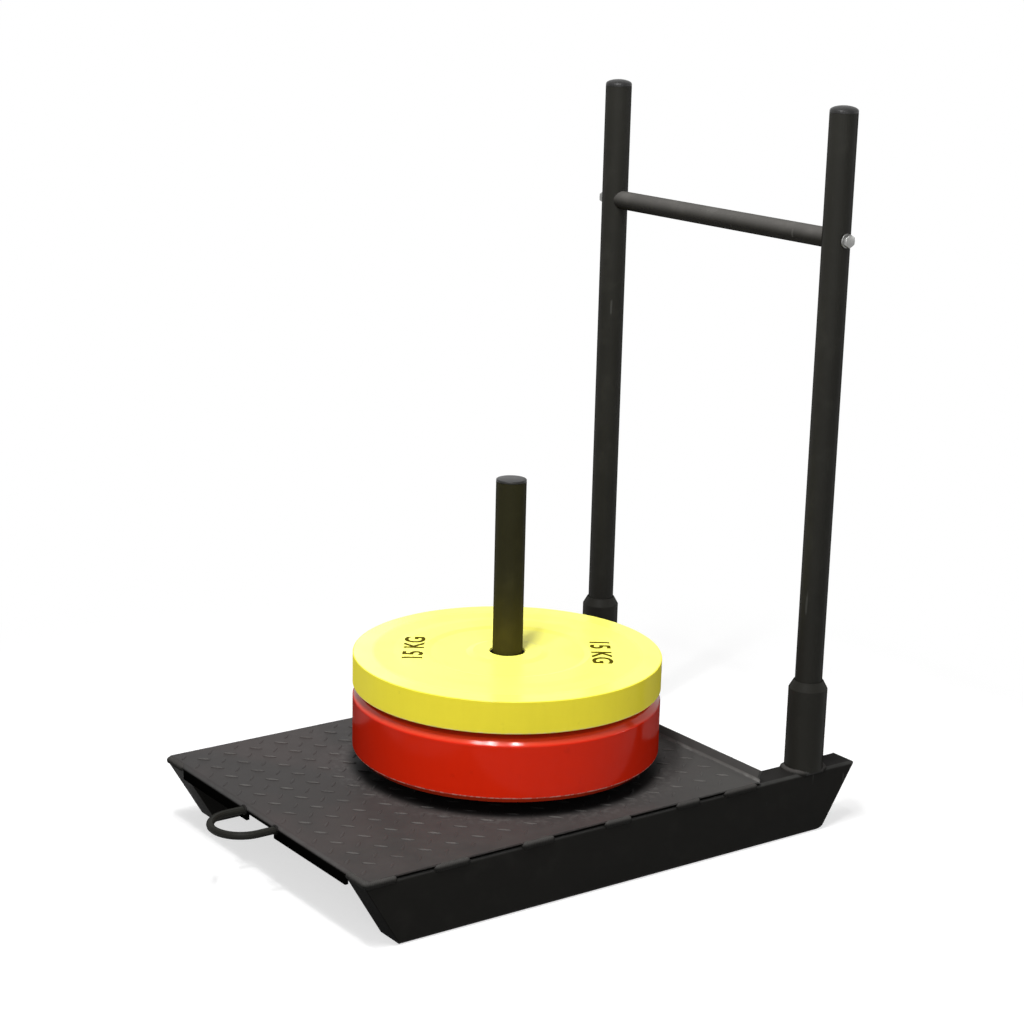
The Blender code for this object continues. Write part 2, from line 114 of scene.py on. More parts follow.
class Signal:
    """A node's output that takes part in sums like a number."""

    def __init__(self, network, socket):
        self.network = network
        self.socket = socket

    def math(self, operation, other=0.0):
        return self.network.math(operation, self, other)

    def __add__(self, other):
        return self.math("ADD", other)

    __radd__ = __add__

    def __sub__(self, other):
        return self.math("SUBTRACT", other)

    def __rsub__(self, other):
        return self.network.math("SUBTRACT", other, self)

    def __mul__(self, other):
        return self.math("MULTIPLY", other)

    def __truediv__(self, other):
        return self.math("DIVIDE", other)

    def __pow__(self, other):
        return self.math("POWER", other)

    def __abs__(self):
        return self.math("ABSOLUTE")

    def __gt__(self, other):
        return self.math("GREATER_THAN", other)

    def __lt__(self, other):
        return self.math("LESS_THAN", other)

    def larger(self, other):
        return self.math("MAXIMUM", other)

    def smaller(self, other):
        return self.math("MINIMUM", other)

    def ramp(self, low, high):
        """0 below low, 1 above high, smooth between; falls instead where low is above high."""
        values = {"Value": self, "From Min": low, "From Max": high}
        return self.network.add("ShaderNodeMapRange", {"interpolation_type": "SMOOTHSTEP"}, values)


class Network:
    """A node tree under construction."""

    def __init__(self, tree):
        self.tree = tree

    def add(self, kind, settings=None, values=None, output=0):
        """A node of any kind: first its settings, then numbers or links for its sockets."""
        node = self.tree.nodes.new(kind)
        for name, setting in (settings or {}).items():
            setattr(node, name, setting)
        for key, value in (values or {}).items():
            self.feed(node.inputs[key], value)
        return Signal(self, node.outputs[output])

    def feed(self, socket, value):
        if isinstance(value, Signal):
            self.tree.links.new(value.socket, socket)
        else:
            socket.default_value = value

    def math(self, operation, first, second):
        return self.add("ShaderNodeMath", {"operation": operation}, {0: first, 1: second})

    def vector(self, operation, first, second):
        return self.add("ShaderNodeVectorMath", {"operation": operation}, {0: first, 1: second})

    def split(self, vector):
        node = self.add("ShaderNodeSeparateXYZ", None, {0: vector}).socket.node
        return [Signal(self, socket) for socket in node.outputs]

    def join(self, x, y, z):
        return self.add("ShaderNodeCombineXYZ", None, {0: x, 1: y, 2: z})

    def seen(self):
        """1 where the camera, a reflection or glass shows the surface, 0 where it only lights."""
        rays = self.tree.nodes.new("ShaderNodeLightPath")
        camera, glossy, clear = (Signal(self, rays.outputs[f"Is {kind} Ray"])
                                 for kind in ("Camera", "Glossy", "Transmission"))
        return camera.larger(glossy).larger(clear)


def opaque(colour):
    """A plain colour with its alpha; a node's output stays as it is."""
    return colour if isinstance(colour, Signal) else (*colour, 1.0)


def dimmed(colour, factor):
    """A plain colour made darker by a number."""
    return tuple(factor * channel for channel in colour)


class Finish(Network):
    """A material whose colour, roughness and relief are worked out over the surface."""

    def __init__(self, name, **constants):
        self.material = bpy.data.materials.new(name)
        self.material.use_nodes = True
        super().__init__(self.material.node_tree)
        self.shader = self.tree.nodes["Principled BSDF"]
        for label, value in constants.items():
            self.shader.inputs[label.replace("_", " ")].default_value = value
        self.place = self.add("ShaderNodeTexCoord", output="Object")
        self.x, self.y, self.z = self.split(self.place)

    def noise(self, size, detail=2.0, stretch=None, place=None):
        """Cloudy value round 0.5 with patches about this size, longer where stretch is above 1."""
        where = place or self.place
        if stretch:
            where = self.vector("DIVIDE", where, stretch)
        values = {"Vector": where, "Scale": 1 / size, "Detail": detail}
        return self.add("ShaderNodeTexNoise", None, values)

    def mix(self, share, first, second):
        """The first colour with a share of the second over it."""
        values = {0: share, 6: opaque(first), 7: opaque(second)}
        return self.add("ShaderNodeMix", {"data_type": "RGBA"}, values, output=2)

    def scaled(self, colour, factor):
        """A colour made lighter or darker by a value."""
        return self.vector("MULTIPLY", colour, self.join(factor, factor, factor))

    def around(self, x, y):
        """Distance from an upright axis."""
        return ((self.x - x) ** 2.0 + (self.y - y) ** 2.0) ** 0.5

    def turned_away(self, low, high):
        """1 where the surface turns away from the eye, 0 where it faces it."""
        return self.add("ShaderNodeLayerWeight", None, {"Blend": 0.5}, output=1).ramp(low, high)

    def matt(self, share, colour):
        """Covers a share of the surface with a matt paint."""
        flat = {"Base Color": colour, "Roughness": 1.0, "Specular IOR Level": 0.0,
                "Diffuse Roughness": self.shader.inputs["Diffuse Roughness"].default_value}
        cover = self.add("ShaderNodeBsdfPrincipled", None, flat)
        gloss = Signal(self, self.shader.outputs[0])
        self.show(self.add("ShaderNodeMixShader", None, {0: share, 1: gloss, 2: cover}))

    def show(self, shader):
        """Puts a shader on the surface."""
        self.feed(self.tree.nodes["Material Output"].inputs["Surface"], shader)

    def set(self, colour, roughness, relief, depth):
        """Feeds the shader and returns the material; depth is the height of a relief of 1."""
        values = {"Strength": 1.0, "Distance": depth, "Height": relief}
        bump = self.add("ShaderNodeBump", None, values)
        for label, value in (("Base Color", colour), ("Roughness", roughness), ("Normal", bump)):
            self.feed(self.shader.inputs[label], value)
        return self.material


class Recipe(Network):
    """A geometry node tree with named inputs for its sizes."""

    KINDS = {float: "NodeSocketFloat", int: "NodeSocketInt"}

    def __init__(self, name, **sizes):
        super().__init__(bpy.data.node_groups.new(name, "GeometryNodeTree"))
        self.labels = {}
        self.socket("Seed shape", "NodeSocketGeometry")
        for label, size in sizes.items():
            socket = self.socket(label.replace("_", " "), self.KINDS[type(size)])
            socket.default_value = size
            self.labels[label] = socket.identifier
        self.labels["paint"] = self.socket("Paint", "NodeSocketMaterial").identifier
        self.socket("Shape", "NodeSocketGeometry", "OUTPUT")
        inlet = self.tree.nodes.new("NodeGroupInput")
        self.seed = Signal(self, inlet.outputs[0])
        self.size = {label: Signal(self, inlet.outputs[i]) for i, label in enumerate(sizes, 1)}
        self.paint = Signal(self, inlet.outputs["Paint"])

    def socket(self, name, kind, way="INPUT"):
        return self.tree.interface.new_socket(name, in_out=way, socket_type=kind)

    def position(self):
        return self.add("GeometryNodeInputPosition")

    def finish(self, shape):
        """Makes the result real, shades it smooth and gives it its paint."""
        shape = self.add("GeometryNodeRealizeInstances", None, {0: shape})
        shape = self.add("GeometryNodeSetShadeSmooth", None, {0: shape, "Shade Smooth": True})
        painted = {"Geometry": shape, "Material": self.paint}
        shape = self.add("GeometryNodeSetMaterial", None, painted)
        self.feed(self.tree.nodes.new("NodeGroupOutput").inputs[0], shape)
        return self

    def grow(self, name, seed, paint, **sizes):
        """Runs the recipe on a seed mesh and returns the result as a plain mesh."""
        source = linked(f"{name}_seed", seed)
        step = source.modifiers.new("recipe", "NODES")
        step.node_group = self.tree
        step[self.labels["paint"]] = paint
        for label, size in sizes.items():
            step[self.labels[label]] = size
        return applied(source)


# ---- Meshes ----

def linked(name, data):
    """A new object in the scene."""
    made = bpy.data.objects.new(name, data)
    bpy.context.collection.objects.link(made)
    return made


def applied(piece):
    """The mesh that an object's modifiers make, with the object taken away."""
    evaluated = piece.evaluated_get(bpy.context.evaluated_depsgraph_get())
    mesh = bpy.data.meshes.new_from_object(evaluated)
    bpy.data.objects.remove(piece, do_unlink=True)
    return mesh


def place(name, mesh, body, slot, *stands_for):
    """Puts a finished mesh in the scene, on its body, instead of the solids it stands for."""
    piece = linked(name, mesh)
    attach(piece, body)
    if stands_for:
        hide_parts(*stands_for)


def body_of(node):
    for body, nodes in frame["record"]["behaviour"]["bodies"].items():
        if node in nodes:
            return body
    raise ValueError(node)


def slot_of(node):
    for entry in frame["record"]["subparts"]:
        if entry["node"] == node:
            return entry["material_slot"]
    raise ValueError(node)


def repaint(node, paint):
    """Gives a solid that stays as it is another paint."""
    frame["nodes"][node].material_slots[0].material = paint


def rounded(mesh, width, segments, limit, sharp):
    """A mesh with its edges rounded, picked by their angle or their weight.

    Edges that still turn by more than sharp degrees are shaded as hard ones.
    """
    piece = linked("rounded", mesh)
    step = piece.modifiers.new("round", "BEVEL")
    step.width = width
    step.segments = segments
    step.limit_method = limit
    step.angle_limit = math.radians(28)
    made = applied(piece)
    made.shade_smooth()
    made.set_sharp_from_angle(angle=math.radians(sharp))
    return made


def soften(node, paint, width):
    """Replaces a solid by a copy with its triangles joined into faces and its edges rounded."""
    bm = bmesh.new()
    bm.from_mesh(frame["nodes"][node].data)
    bmesh.ops.remove_doubles(bm, verts=bm.verts, dist=1e-6)
    bmesh.ops.dissolve_limit(bm, angle_limit=math.radians(0.5), verts=bm.verts, edges=bm.edges)
    mesh = bpy.data.meshes.new(node)
    bm.to_mesh(mesh)
    bm.free()
    mesh.materials.clear()
    mesh.materials.append(paint)
    mesh = rounded(mesh, width, segments=2, limit="ANGLE", sharp=36)
    place(f"{node}_dressed", mesh, body_of(node), slot_of(node), node)


def wire(points):
    """A mesh of edges only, through the points in order."""
    mesh = bpy.data.meshes.new("path")
    mesh.from_pydata(points, [(i, i + 1) for i in range(len(points) - 1)], [])
    return mesh


def arc(centre, radius, start, end, height, steps=24):
    """Points of a level arc; angles in degrees from +X."""
    angles = [math.radians(start + (end - start) * i / steps) for i in range(steps + 1)]
    return [(centre[0] + radius * math.cos(a), centre[1] + radius * math.sin(a), height)
            for a in angles]


def profile(corners):
    """Points of a turned outline, down its outer side; a corner is (radius, height, rounding)."""
    steps = 4
    points = []
    for i, (radius, height, ease) in enumerate(corners):
        corner = Vector((radius, height))
        if not ease or i in (0, len(corners) - 1):
            points.append(corner)
            continue
        before = Vector(corners[i - 1][:2]) - corner
        after = Vector(corners[i + 1][:2]) - corner
        room = min(before.length, after.length)
        reach = min(ease / math.tan(before.angle(after) / 2), room * 0.48)
        support = min(reach * 1.35, room * 0.49)
        before.normalize()
        after.normalize()
        start, end = corner + before * reach, corner + after * reach
        points.append(corner + before * support)
        for step in range(steps + 1):
            share = step / steps
            rest = 1 - share
            points.append(start * rest ** 2 + corner * 2 * share * rest + end * share ** 2)
        points.append(corner + after * support)
    return [(point.x, 0.0, point.y) for point in points]


def turned(name, corners, paint, at, sides=96):
    """A piece turned about an upright axis through at."""
    points = profile(corners)
    mesh = LATHE.grow(name, wire(points), paint, sides=sides, points=len(points))
    mesh.transform(Matrix.Translation(at))
    mesh.set_sharp_from_angle(angle=math.radians(50))
    return mesh


# ---- Recipes for what repeats or follows a path ----

def lathe_recipe():
    """Carries a profile round the Z axis: a grid whose columns are the profile's points."""
    recipe = Recipe("lathe", sides=96, points=8)
    sides, points = recipe.size["sides"], recipe.size["points"]
    grid = {"Vertices X": sides + 1, "Vertices Y": points}
    grid = recipe.add("GeometryNodeMeshGrid", None, grid)
    index = recipe.add("GeometryNodeInputIndex")
    column = (index / points).math("FLOOR")
    row = index - column * points
    sample = {"data_type": "FLOAT_VECTOR", "domain": "POINT"}
    values = {"Geometry": recipe.seed, "Value": recipe.position(), "Index": row}
    point = recipe.add("GeometryNodeSampleIndex", sample, values)
    values = {"Vector": point, "Angle": column / sides * (2 * math.pi)}
    spot = recipe.add("ShaderNodeVectorRotate", {"rotation_type": "Z_AXIS"}, values)
    shape = recipe.add("GeometryNodeSetPosition", None, {"Geometry": grid, "Position": spot})
    values = {"Geometry": shape, "Distance": 2e-6}
    return recipe.finish(recipe.add("GeometryNodeMergeByDistance", None, values))


def bead_recipe():
    """A weld bead along a path: a round run whose thickness rises and falls with each ripple."""
    recipe = Recipe("weld bead", radius=0.003, ripple=0.0026, run_out=1000.0)
    radius, ripple, run_out = recipe.size.values()
    path = recipe.add("GeometryNodeMeshToCurve", None, {"Mesh": recipe.seed})
    fine = {"Curve": path, "Length": ripple / 4}
    path = recipe.add("GeometryNodeResampleCurve", {"mode": "LENGTH"}, fine)
    along = recipe.add("GeometryNodeSplineParameter", output="Length")
    phase = abs((along / ripple * math.pi).math("SINE"))
    wander = recipe.add("ShaderNodeTexNoise", None, {"Scale": 90.0, "Detail": 1.0})
    share = recipe.add("GeometryNodeSplineParameter", output="Factor")
    ends = (share * (1 - share) * run_out + 0.02).smaller(1.0) ** 0.5
    thickness = radius * (0.84 + phase * 0.1 + wander * 0.14) * ends
    ring = {"Resolution": 10, "Radius": 1.0}
    ring = recipe.add("GeometryNodeCurvePrimitiveCircle", None, ring)
    swept = {"Curve": path, "Profile Curve": ring, "Scale": thickness, "Fill Caps": True}
    return recipe.finish(recipe.add("GeometryNodeCurveToMesh", None, swept))


def tread_recipe():
    """Two crossed lattices of one raised bar, kept to the deck and off the post's flange."""
    recipe = Recipe("tread pattern", pitch_x=0.04, pitch_y=0.04, columns=10, rows=10, first_x=0.0,
                    first_y=0.0, surface=0.1, half_width=0.25, front=-0.3, rear=0.3, post_y=0.0,
                    clear_radius=0.08, slant=0.7)
    size = recipe.size
    width = size["pitch_x"] * (size["columns"] - 1)
    depth = size["pitch_y"] * (size["rows"] - 1)
    grid = {"Size X": width, "Size Y": depth, "Vertices X": size["columns"],
            "Vertices Y": size["rows"]}
    grid = recipe.add("GeometryNodeMeshGrid", None, grid)
    both = recipe.tree.nodes.new("GeometryNodeJoinGeometry")
    for shift, hand in ((0.0, -1), (0.5, 1)):
        corner = recipe.join(size["first_x"] + width / 2 + size["pitch_x"] * shift,
                             size["first_y"] + depth / 2 + size["pitch_y"] * shift,
                             size["surface"])
        values = {"Geometry": grid, "Translation": corner}
        points = recipe.add("GeometryNodeTransform", None, values)
        x, y = recipe.split(recipe.position())[:2]
        gone = (abs(x) > size["half_width"]).larger(y < size["front"]).larger(y > size["rear"])
        post = (x ** 2.0 + (y - size["post_y"]) ** 2.0) ** 0.5
        values = {"Geometry": points, "Selection": gone.larger(post < size["clear_radius"])}
        points = recipe.add("GeometryNodeDeleteGeometry", None, values)
        crossed = {"data_type": "FLOAT", "domain": "POINT"}
        values = {"Geometry": points, "Name": "crossed", "Value": shift * 2}
        points = recipe.add("GeometryNodeStoreNamedAttribute", crossed, values)
        turn = {0: recipe.join(0.0, 0.0, size["slant"] * hand)}
        placed = {"Points": points, "Instance": recipe.seed,
                  "Rotation": recipe.add("FunctionNodeEulerToRotation", None, turn),
                  "Scale": recipe.join(1.0, 1.0, 1.0 - shift * 1.3)}
        bars = recipe.add("GeometryNodeInstanceOnPoints", None, placed)
        recipe.feed(both.inputs[0], bars)
    return recipe.finish(Signal(recipe, both.outputs[0]))


LATHE = lathe_recipe()
BEAD = bead_recipe()
TREAD = tread_recipe()


# ---- Finishes ----

def coat(name, colour, roughness, grain=0.0009, depth=0.00006, gloss=0.05, dust_and_light_from=8.0,
         dust_and_light_full=9.0, dust_and_light_colour=(0.018, 0.0172, 0.0163), runner=False):
    """Black powder coat: fine orange-peel relief, cloudy tone, dust and a few faint scratches.

    The band from the height dust_and_light_from, full at dust_and_light_full, takes
    dust_and_light_colour; it lies above the sled unless given. It is dust on a runner's top, dust
    with a painted top light on the grip and the weld beads, and on the post, the other way up, a
    painted reflection of the yellow plate. A runner's coat is also duller on its slanting front
    end, with painted shade on the left one, and rubbed along its top edge.
    """
    finish = Finish(name, Specular_IOR_Level=gloss)
    tone = 0.8 + finish.noise(0.11, 3.0) * 0.4
    dust = finish.noise(0.035, 4.0).ramp(0.5, 0.78)
    line = finish.noise(0.012, 1.0, stretch=(1.0, 1.0, 14.0))
    scratch = line.ramp(0.735, 0.76) * finish.noise(0.05, 1.0).ramp(0.54, 0.6)
    shade = finish.scaled(colour, tone + dust * 0.3)
    shade = finish.mix(scratch * 0.22, shade, (0.11, 0.11, 0.105))
    # Band of dust, painted top light on grip and beads, painted yellow reflection on the post
    dust_and_painted_light = finish.z.ramp(dust_and_light_from, dust_and_light_full) * (0.75 + dust * 0.25)
    shade = finish.mix(dust_and_painted_light, shade, dust_and_light_colour)
    rough = roughness + (finish.noise(0.03, 3.0) - 0.5) * 0.16 + dust * 0.06
    dull = finish.turned_away(0.45, 0.85) * 0.9
    if runner:
        past = finish.y - (TIP_Y + FRONT_SLANT) + finish.z * (FRONT_SLANT / RUNNER_TOP)
        end = past.ramp(0.0012, 0.0004)
        left = finish.x > 0.0
        dull = dull * (1 - end) + end * (0.42 + left * 0.38)
        # Painted shade: the left runner's slanting front end is darkened
        shade = finish.mix(end * left, shade, (0.0065, 0.0065, 0.006))
        outer = RUNNER_X + RUNNER_HALF
        edge = abs(finish.x).ramp(outer - 0.0075, outer - 0.005)
        edge = edge * finish.z.ramp(RUNNER_TOP - 0.004, RUNNER_TOP - 0.0015) * (1 - end)
        rubbed = edge * (0.3 + finish.noise(0.02, 3.0) * 0.8)
        shade = finish.mix(rubbed, shade, (0.042, 0.042, 0.04))
    finish.matt(dull, shade)
    return finish.set(shade, rough, finish.noise(grain, 2.0), depth)


def deck_coat():
    """The deck's worn coat: warm patches, scuffed bars and a worn fold with painted highlights,
    painted shade on the lip, under the plates, on the side edges and the dark front edge.
    """
    finish = Finish("deck_coat_worn", Specular_IOR_Level=0.05)
    rear = finish.y.ramp(-0.05, 0.4)
    shade = finish.mix(rear, (0.0362, 0.0336, 0.0328), (0.06, 0.059, 0.0565))
    warm = finish.noise(0.16, 2.0).ramp(0.42, 0.66) * (1 - rear)
    shade = finish.mix(warm * 0.6, shade, (0.053, 0.0425, 0.041))
    cloud = finish.noise(0.02, 5.0)
    shade = finish.mix((cloud - 0.35).larger(0.0) * 0.3, shade, (0.09, 0.086, 0.082))

    # Scuffed tops of the bars with a painted highlight, less of both on the lower, crossed ones
    top = finish.z.ramp(DECK_TOP + 0.0002, DECK_TOP + 0.001) * (finish.z < DECK_TOP + 0.004)
    crossed = finish.add("ShaderNodeAttribute", {"attribute_name": "crossed"}, output=2)
    bar = top * (1 - crossed * 0.9) * (0.45 + finish.noise(0.05, 2.0).ramp(0.25, 0.65) * 0.55)
    shade = finish.mix(bar * 0.38, shade, (0.15, 0.145, 0.138))

    # A ring of scuffs just outside the plates
    outside = finish.around(0.0, POST_Y) - PLATE_RADIUS
    ring = outside.ramp(-0.003, 0.007) * outside.ramp(0.05, 0.011)
    scuff = ring * finish.noise(0.009, 4.0).ramp(0.46, 0.66)
    shade = finish.mix(scuff * 0.22, shade, (0.12, 0.117, 0.112))

    # The fold and the front brink: wear with a painted highlight; the lip: painted shade
    fold = finish.y.ramp(FOLD_Y - 0.0055, FOLD_Y - 0.002)
    fold = fold * finish.z.ramp(DECK_TOP + 0.0045, DECK_TOP + 0.002)
    fold_wear_and_highlight = fold * finish.noise(0.02, 4.0).ramp(0.34, 0.7)
    fold_wear_and_highlight = fold_wear_and_highlight * finish.noise(0.12, 1.0).ramp(0.36, 0.58)
    shade = finish.mix(fold_wear_and_highlight * 0.65, shade, (0.15, 0.147, 0.14))
    # Painted shade on the upturned lip
    lip_painted_shade = finish.z.ramp(DECK_TOP + 0.002, DECK_TOP + 0.005)
    shade = finish.mix(lip_painted_shade * 0.35, shade, (0.03, 0.029, 0.028))
    # Rubbed brink at the front, with a painted highlight
    brink_wear_and_highlight = finish.y.ramp(DECK_FRONT + 0.006, DECK_FRONT + 0.002)
    brink_wear_and_highlight = brink_wear_and_highlight * (0.3 + finish.noise(0.02, 3.0))
    shade = finish.mix(brink_wear_and_highlight.smaller(1.0) * 0.35, shade, (0.1, 0.1, 0.098))

    # Painted nearly black shade under and round the plates, on the sheet's sides and front flange
    under = outside.ramp(0.015, -0.006) * (finish.z < DECK_TOP + 0.003)
    shade = finish.mix(under * 0.95, shade, (0.0015, 0.0015, 0.0015))
    side = finish.z.ramp(DECK_TOP - 0.0014, DECK_TOP - 0.003)
    side = side * (abs(finish.x) > DECK_EDGE - 0.0006)
    front = finish.z.ramp(DECK_TOP - 0.0035, DECK_TOP - 0.0065)
    front = front * (finish.y < DECK_FRONT + 0.02)
    painted_shade_edges = front.larger(side)
    shade = finish.mix(painted_shade_edges, shade, (0.0018, 0.0018, 0.0015))
    finish.matt(painted_shade_edges, shade)

    rough = 0.56 + (cloud - 0.5) * 0.2 - bar * 0.1
    relief = finish.noise(0.0011, 2.0) + cloud * 1.5
    return finish.set(shade, rough, relief, 0.00007)


def rubber(name, side, top, middle, crown, roughness, level=0.0, chalk=0.0):
    """Dense coloured rubber: cloudy tone, faint turning lines on the rim, scuffs at its edges.

    The rim's edges lie crown above and below the height of the plate's middle. level is the matt
    share of the flat faces, and chalk evens out how the colour takes the light.
    """
    finish = Finish(name, Specular_IOR_Level=0.22, Diffuse_Roughness=chalk)
    away = finish.around(0.0, POST_Y)
    inward = PLATE_RADIUS - away
    angle = (finish.y - POST_Y).math("ARCTAN2", finish.x)
    flat = inward.ramp(0.0002, 0.0028)
    wrapped = finish.join(angle * 0.22, away * 0.02, finish.z * 0.12)
    streak = (finish.noise(0.012, 3.0, place=wrapped) - 0.42).larger(0.0) * (1 - flat)
    cloud = finish.noise(0.07, 3.0)
    # Painted light: faces off the rim wall take top, a lighter copy of the side colour
    shade = finish.mix(flat, side, top)
    shade = finish.mix(streak * 0.25, shade, dimmed(side, 0.72))
    shade = finish.mix((cloud - 0.5).larger(0.0) * 0.5, shade, dimmed(side, 0.82))
    rise = finish.z - middle
    hem = rise.ramp(-crown - 0.0016, -crown - 0.0004) * rise.ramp(-crown + 0.0016, -crown + 0.0004)
    scuff = hem * inward.ramp(0.0014, 0.0004) * (0.35 + finish.noise(0.006, 3.0).ramp(0.44, 0.6))
    shade = finish.mix(scuff.smaller(1.0) * 0.5, shade, (0.62, 0.5, 0.42))
    dirt = finish.noise(0.02, 5.0).ramp(0.64, 0.8) * inward.ramp(0.035, 0.0)
    shade = finish.mix(dirt * 0.22, shade, dimmed(side, 0.35))
    rough = roughness + (cloud - 0.5) * 0.1 + streak * 0.1 + inward.ramp(0.025, 0.035) * 0.15
    face = inward.ramp(0.0004, 0.0012)
    turned_off = finish.turned_away(0.5, 0.85)
    wall = (0.72 + turned_off * 0.23) * (1 - face)
    finish.matt(wall + face * (turned_off * (1 - flat) * 0.8 + flat * level), shade)
    return finish.set(shade, rough, finish.noise(0.0016, 2.0) * 0.6 + streak, 0.00004)


def zinc_plate():
    """Bright zinc with a faint cloudy tarnish."""
    finish = Finish("zinc_plate", Metallic=1.0)
    cloud = finish.noise(0.004, 3.0)
    shade = finish.mix(cloud, (0.31, 0.31, 0.3), (0.2, 0.2, 0.194))
    return finish.set(shade, 0.3 + cloud * 0.2, finish.noise(0.0007, 2.0), 0.00003)


def hub_steel():
    """Dark steel with fine turning rings round the post."""
    finish = Finish("hub_steel_dark", Metallic=0.7)
    rings = (finish.around(0.0, POST_Y) * 5200.0).math("SINE") * 0.5 + 0.5
    cloud = finish.noise(0.01, 3.0)
    shade = finish.mix(cloud, (0.045, 0.042, 0.036), (0.02, 0.019, 0.017))
    return finish.set(shade, 0.4 + cloud * 0.2, rings, 0.00002)


def cap_plastic():
    """Black moulded plastic with a fine grain."""
    finish = Finish("cap_plastic_moulded", Specular_IOR_Level=0.2)
    cloud = finish.noise(0.02, 3.0)
    shade = finish.scaled((0.0155, 0.0152, 0.0149), 0.8 + cloud * 0.4)
    rough = 0.42 + (cloud - 0.5) * 0.2
    return finish.set(shade, rough, finish.noise(0.0006, 2.0), 0.00002)


def numeral_ink():
    """Dark print with a little of the rubber's yellow in it."""
    finish = Finish("numeral_ink", Specular_IOR_Level=0.1)
    cloud = finish.noise(0.003, 3.0)
    shade = finish.scaled((0.082, 0.063, 0.0035), 0.7 + cloud * 0.6)
    finish.matt(0.85, shade)
    return finish.set(shade, 0.5 + (cloud - 0.5) * 0.2, cloud, 0.00001)


# ---- Pieces ----

def dress_deck(paint):
    """The deck's sheet with eased edges, and the raised bars on it."""
    soften("deck_plate", paint, width=0.0009)
    bar = tread_bar(BAR_HALF_LENGTH, BAR_HALF_WIDTH, BAR_HEIGHT)
    mesh = TREAD.grow("tread_bars", bar, paint, pitch_x=BAR_PITCH_X, pitch_y=BAR_PITCH_Y,
                      columns=14, rows=17, first_x=FIRST_BAR_X, first_y=FIRST_BAR_Y,
                      surface=DECK_TOP, half_width=DECK_EDGE - 0.0115, front=DECK_FRONT + 0.0125,
                      rear=FOLD_Y - 0.0135, post_y=POST_Y, clear_radius=0.092,
                      slant=math.radians(45))
    place("tread_bars", mesh, "sled", "deck_coat")


def tread_bar(half_length, half_width, height):
    """One raised bar: a lens outline with pointed ends and a rounded crown, foot in the sheet."""
    foot = -0.0006
    bm = bmesh.new()
    rows = []
    for share in (-0.82, -0.45, 0.0, 0.45, 0.82):
        width = half_width * (1 - share * share)
        flank = (width * 0.9, height * 0.25)
        crown = (width * 0.4, height * (1 - abs(share) ** 3 * 0.5))
        right = ((width, foot), flank, crown)
        spots = [(-x, z) for x, z in right] + list(reversed(right))
        rows.append([bm.verts.new((x, half_length * share, z)) for x, z in spots])
    for first, second in zip(rows, rows[1:]):
        for i in range(len(first)):
            j = (i + 1) % len(first)
            bm.faces.new((first[i], first[j], second[j], second[i]))
    for row, hand in ((rows[0], -1), (rows[-1], 1)):
        tip = bm.verts.new((0.0, half_length * hand, foot))
        for i in range(len(row)):
            bm.faces.new((row[i], row[(i + 1) % len(row)], tip))
    bmesh.ops.recalc_face_normals(bm, faces=bm.faces)
    mesh = bpy.data.meshes.new("tread_bar")
    bm.to_mesh(mesh)
    bm.free()
    return mesh


def runner_rounding(edge):
    """Share of the heel's rounding: all at the rear heel, half on long edges, little on others."""
    first, second = (vertex.co for vertex in edge.verts)
    if abs(first.x - second.x) > 0.01 and first.y > 0 and first.z < 0.01:
        return 1.0
    return 0.55 if abs(first.y - second.y) > 0.3 else 0.13


def dress_runners(paint):
    """Each runner with its two end plates ground flush, as one closed shape."""
    outline = ((TIP_Y, RUNNER_TOP), (TIP_Y + FRONT_SLANT, 0.0), (TAIL_Y - REAR_SLANT, 0.0),
               (TAIL_Y, RUNNER_TOP))
    for side, hand in SIDES:
        bm = bmesh.new()
        inner, outer = ([bm.verts.new((x * hand, y, z)) for y, z in outline]
                        for x in (RUNNER_X - RUNNER_HALF, RUNNER_X + RUNNER_HALF))
        bm.faces.new(inner)
        bm.faces.new(outer[::-1])
        for i in range(len(outline)):
            j = (i + 1) % len(outline)
            bm.faces.new((inner[j], inner[i], outer[i], outer[j]))
        bmesh.ops.recalc_face_normals(bm, faces=bm.faces)
        weight = bm.edges.layers.float.new("bevel_weight_edge")
        for edge in bm.edges:
            edge[weight] = runner_rounding(edge)
        mesh = bpy.data.meshes.new(f"{side}_runner_dressed")
        bm.to_mesh(mesh)
        bm.free()
        mesh.materials.append(paint)
        mesh = rounded(mesh, HEEL_ROUNDING, segments=5, limit="WEIGHT", sharp=40)
        place(f"{side}_runner_dressed", mesh, "sled", "runner_coat", f"{side}_runner",
              f"{side}_runner_front_plate", f"{side}_runner_rear_plate")


def dress_sockets(paint):
    """The sockets' short tubes with a long chamfer at the top."""
    tall = SOCKET_HIGH.z - SOCKET_LOW.z
    corners = ((SOCKET_BORE, tall, 0), (SOCKET_BORE + SOCKET_RIM, tall, 0.0006),
               (SOCKET_RADIUS, tall - SOCKET_CHAMFER, 0.0016), (SOCKET_RADIUS, 0, 0.0004),
               (SOCKET_BORE, 0, 0.0004), (SOCKET_BORE, tall, 0))
    for side, hand in SIDES:
        foot = (RUNNER_X * hand, SOCKET_Y, SOCKET_LOW.z)
        mesh = turned(f"{side}_socket", corners, paint, foot)
        place(f"{side}_socket_dressed", mesh, "sled", "tube_coat", f"{side}_socket")


def weld(name, points, paint, radius, slot="runner_coat", run_out=1000.0):
    """A bead through the points; a small run_out lets its ends thin out over a longer way."""
    mesh = BEAD.grow(name, wire(points), paint, radius=radius, run_out=run_out)
    place(name, mesh, "sled", slot)


